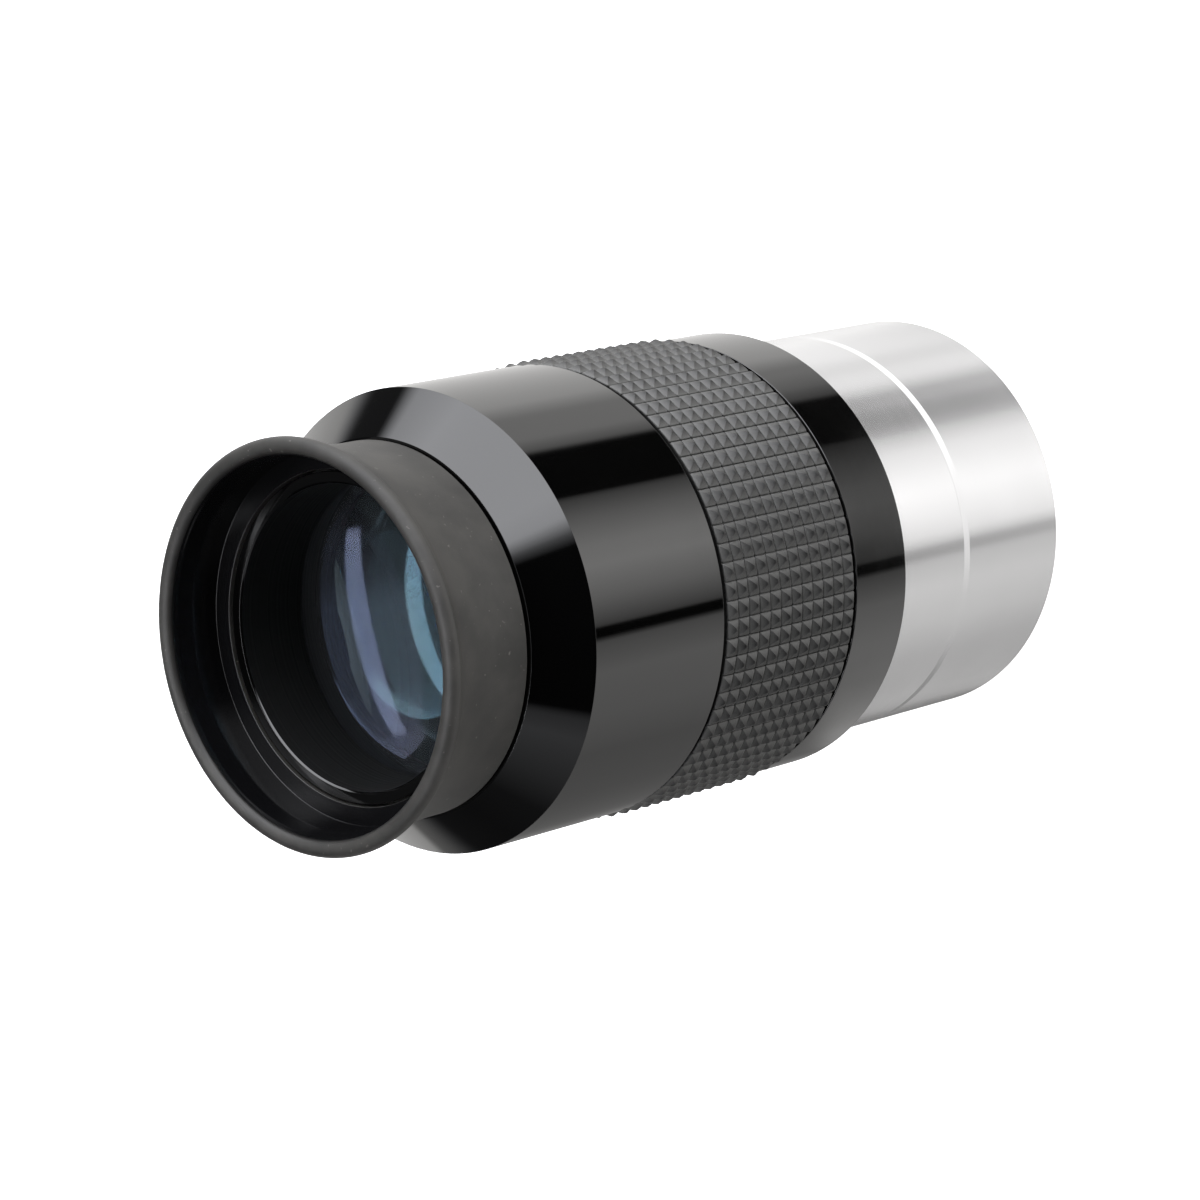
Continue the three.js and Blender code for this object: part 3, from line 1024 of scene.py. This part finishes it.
# The foot of the cards, which only the satin chrome picks up.
FOOT_LIGHT = (
    (-180, 0.38),
    (-150, 0.66),
    (-123, 0.90),
    (-115, 1.25),
    (-107, 2.15),
    (-88, 2.00),
    (-68, 1.75),
    (-55, 1.85),
    (-42, 1.35),
    (-34, 0.85),
    (-26, 0.80),
    (-20, 1.20),
    (0, 1.30),
    (20, 0.80),
    (45, 0.28),
    (85, 0.24),
    (110, 0.34),
    (180, 0.38),
)
# The sweep behind the cards, up to the horizon.
SWEEP_LIGHT = (
    (-180, 0.15),
    (-140, 0.35),
    (-105, 1.20),
    (-60, 1.60),
    (0, 1.65),
    (40, 1.30),
    (90, 0.90),
    (120, 0.40),
    (180, 0.15),
)
# Light from above the horizon.
ROOM_LIGHT = (
    (-180, 0.20),
    (-162, 0.36),
    (-153, 0.24),
    (-149, 0.0),
    (-70, 0.0),
    (-65, 0.60),
    (-56.5, 3.20),
    (-45, 3.50),
    (10, 3.30),
    (27, 2.20),
    (33, 0.05),
    (150, 0.03),
    (165, 0.05),
    (180, 0.20),
)
# The softbox overhead, along its length. Its places are x/z of a direction.
CEILING_LIGHT = (
    (-1.1, 0.05),
    (-0.9, 0.3),
    (-0.45, 0.35),
    (-0.2, 0.9),
    (0.4, 0.9),
    (0.8, 1.6),
    (1.0, 1.4),
    (1.1, 0.05),
)
CEILING_REACH = (-0.6, 0.55)  # in y/z
CEILING_SOFTNESS = 0.04
CEILING_HORIZON = 0.1  # directions with less z than this are treated as if they had it
STRIP_LIGHT = 6.0  # a bow of light across the softbox
STRIP_EDGES = (-0.06, 0.12)  # in y/z, at its middle
STRIP_BOW = 0.25
STRIP_REACH = 0.95  # in x/z, to both sides
STRIP_SIDE_SOFTNESS = 0.02
STRIP_END_SOFTNESS = 0.05
PAPER_LIGHT = 0.6  # straight below
LEDGE_LIGHT = 1.1  # a low white ledge all round
# Elevations where one of these gives way to the next, from the paper up.
TABLE_LOW = -58
TABLE_FOOT = -51.6  # the foot of the cards ends here
TABLE_MIDDLE = -48.7  # the part of the cards that MIDDLE_SHARE changes ends here
TABLE_HIGH = -36
THROUGH_GLASS = (-32, -30)  # glass shows no light from below these
LEDGE = (-25, -11)
HORIZON = (-9, -1)
CEILING_START = (42, 50)
EDGE_SOFTNESS = 1.5
SPLIT_SOFTNESS = 0.3
TABLE_TINT = (1.01, 1.0, 0.985)
ROOM_TINT = (0.98, 0.99, 1.03)


def light_ramp(nodes, place, stops):
    """Radiance along a line of stops. The ramp holds shares of its brightest stop."""
    start, end = stops[0][0], stops[-1][0]
    peak = max(radiance for _, radiance in stops)
    ramp = nodes.node("ShaderNodeValToRGB")
    elements = ramp.color_ramp.elements
    while len(elements) < len(stops):
        elements.new(0.5)
    for element, (stop, radiance) in zip(elements, stops):
        element.position = (stop - start) / (end - start)
        element.color = (radiance / peak,) * 3 + (1,)
    nodes.link(nodes.remap(place, start, end, 0, 1), ramp.inputs["Fac"])
    return nodes.maths("MULTIPLY", ramp.outputs["Color"], peak)


def between(nodes, value, low_end, high_end, softness):
    """1 between two ends and 0 outside them."""
    rising = nodes.remap(value, low_end - softness, low_end + softness, 0, 1, smooth=True)
    falling = nodes.remap(value, high_end - softness, high_end + softness, 1, 0, smooth=True)
    return nodes.maths("MULTIPLY", rising, falling)


def ceiling(nodes, x, y, z):
    """A long softbox overhead with a brighter bow across it."""
    height = nodes.maths("MAXIMUM", z, CEILING_HORIZON)
    across = nodes.maths("DIVIDE", x, height)
    along = nodes.maths("DIVIDE", y, height)
    panel = nodes.maths(
        "MULTIPLY",
        light_ramp(nodes, across, CEILING_LIGHT),
        between(nodes, along, *CEILING_REACH, CEILING_SOFTNESS),
    )
    square = nodes.maths("MULTIPLY", across, across)
    bow = nodes.maths("MULTIPLY_ADD", square, -STRIP_BOW, along)
    strip = nodes.maths(
        "MULTIPLY",
        between(nodes, bow, *STRIP_EDGES, STRIP_SIDE_SOFTNESS),
        between(nodes, across, -STRIP_REACH, STRIP_REACH, STRIP_END_SOFTNESS),
    )
    return nodes.maths("MULTIPLY_ADD", strip, STRIP_LIGHT, panel)


def studio_world():
    world = bpy.data.worlds.new("studio")
    bpy.context.scene.world = world
    world.use_nodes = True
    nodes = Nodes(world.node_tree)
    split = nodes.node("ShaderNodeSeparateXYZ")
    nodes.link(nodes.node("ShaderNodeTexCoord").outputs["Generated"], split.inputs[0])
    x, y, z = split.outputs
    azimuth = nodes.maths("DEGREES", nodes.maths("ARCTAN2", y, x))
    elevation = nodes.maths("DEGREES", nodes.maths("ARCSINE", z))

    def above(height, softness=EDGE_SOFTNESS):
        return nodes.remap(elevation, height - softness, height + softness, 0, 1, smooth=True)

    cards = light_ramp(nodes, azimuth, TABLE_LIGHT)
    sweep = light_ramp(nodes, azimuth, SWEEP_LIGHT)
    foot = light_ramp(nodes, azimuth, FOOT_LIGHT)
    middle = nodes.maths("MULTIPLY", cards, light_ramp(nodes, azimuth, MIDDLE_SHARE))
    light = nodes.mix_number(above(TABLE_LOW), PAPER_LIGHT, foot)
    light = nodes.mix_number(above(TABLE_FOOT, SPLIT_SOFTNESS), light, middle)
    light = nodes.mix_number(above(TABLE_MIDDLE, SPLIT_SOFTNESS), light, cards)
    light = nodes.mix_number(above(TABLE_HIGH), light, sweep)
    ledge = between(nodes, elevation, *LEDGE, EDGE_SOFTNESS)
    light = nodes.mix_number(ledge, light, nodes.maths("MAXIMUM", sweep, LEDGE_LIGHT))
    overhead = nodes.remap(elevation, *HORIZON, 0, 1, smooth=True)
    light = nodes.mix_number(overhead, light, light_ramp(nodes, azimuth, ROOM_LIGHT))
    top = nodes.remap(elevation, *CEILING_START, 0, 1, smooth=True)
    light = nodes.mix_number(top, light, ceiling(nodes, x, y, z))
    coloured = nodes.node("ShaderNodeVectorMath", operation="SCALE")
    nodes.link(nodes.mix_colour(overhead, TABLE_TINT, ROOM_TINT), coloured.inputs[0])
    nodes.link(light, coloured.inputs["Scale"])
    path = nodes.node("ShaderNodeLightPath").outputs
    beneath = nodes.remap(elevation, *THROUGH_GLASS, 1, 0)
    through = nodes.maths("MULTIPLY", path["Is Transmission Ray"], beneath)
    lit = nodes.mix_colour(through, coloured.outputs[0], (0.0, 0.0, 0.0))
    shown = nodes.mix_colour(path["Is Camera Ray"], lit, (1.0, 1.0, 1.0))
    nodes.link(shown, world.node_tree.nodes["Background"].inputs["Color"])


FLOOR_HALF_WIDTH = 3.0  # in metres


def floor():
    """A pale sheet that is seen from above but neither mirrored nor lit."""
    half = FLOOR_HALF_WIDTH
    mesh = bpy.data.meshes.new("floor")
    corners = [(-half, -half, 0), (half, -half, 0), (half, half, 0), (-half, half, 0)]
    mesh.from_pydata(corners, [], [(0, 1, 2, 3)])
    made = bpy.data.objects.new("floor", mesh)
    bpy.context.scene.collection.objects.link(made)
    paper = Shader("white_paper", Base_Color=(0.8, 0.8, 0.8, 1), Roughness=0.9)
    paper.surface.inputs["Emission Color"].default_value = (1, 1, 1, 1)
    paper.surface.inputs["Emission Strength"].default_value = 1.0
    mesh.materials.append(paper.material)
    made.visible_glossy = False
    made.visible_diffuse = False
    made.visible_transmission = False
    made.visible_shadow = False


studio_world()
floor()
bpy.context.scene.view_settings.view_transform = "Standard"
